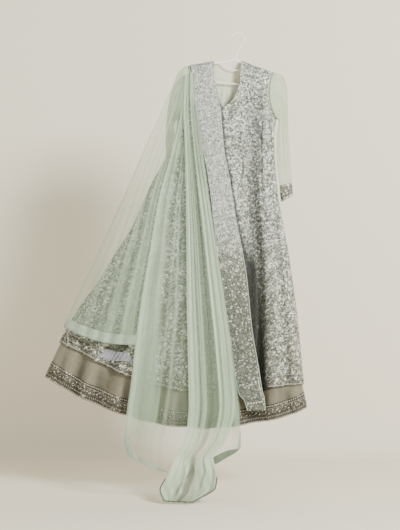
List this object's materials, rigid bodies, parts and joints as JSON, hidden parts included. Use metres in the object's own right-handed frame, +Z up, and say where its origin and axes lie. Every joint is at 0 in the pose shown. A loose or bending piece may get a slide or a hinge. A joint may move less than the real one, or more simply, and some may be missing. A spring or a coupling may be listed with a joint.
{
  "type": "maxi dress on hanger",
  "caption": "Embroidered A-line maxi dress with sheer sleeves, a longer under-layer, a shoulder band and a sheer net drape, hung on a plastic hanger.",
  "frame": {"origin": "seat inside the top of the hanger's hook, where a rail or a peg holds it", "axes": "+Z up along the hanging dress, -Y is the front of the dress, +X to the right of someone who looks at the front"},
  "size_m": [1.0497, 0.3052, 1.8477],
  "materials": {
    "embroidered_net": "sage net worked all over in matt silver thread and small sequins",
    "beaded_trim": "dense beads and sequins on net",
    "under_satin": "taupe satin with a soft sheen",
    "sheer_net": "pale mint net, see-through",
    "band_work": "dense silver thread work with piped edges",
    "hanger_white": "white moulded plastic"
  },
  "bodies": {
    "root": {"gown_front_left": "embroidered_net", "gown_front_right": "embroidered_net", "gown_back": "embroidered_net", "gown_border_front_left": "beaded_trim", "gown_border_front_right": "beaded_trim", "gown_border_back": "beaded_trim", "under_front": "under_satin", "under_back": "under_satin", "under_border_front": "beaded_trim", "under_border_back": "beaded_trim", "sleeve_left": "sheer_net", "sleeve_right": "sheer_net", "cuff_left": "beaded_trim", "cuff_right": "beaded_trim", "shoulder_band": "band_work", "drape_wing": "sheer_net", "drape_fall": "sheer_net", "drape_folded": "sheer_net", "hanger_body": "hanger_white", "hanger_hook": "hanger_white", "hanger_brace": "hanger_white"}
  },
  "joints": []
}
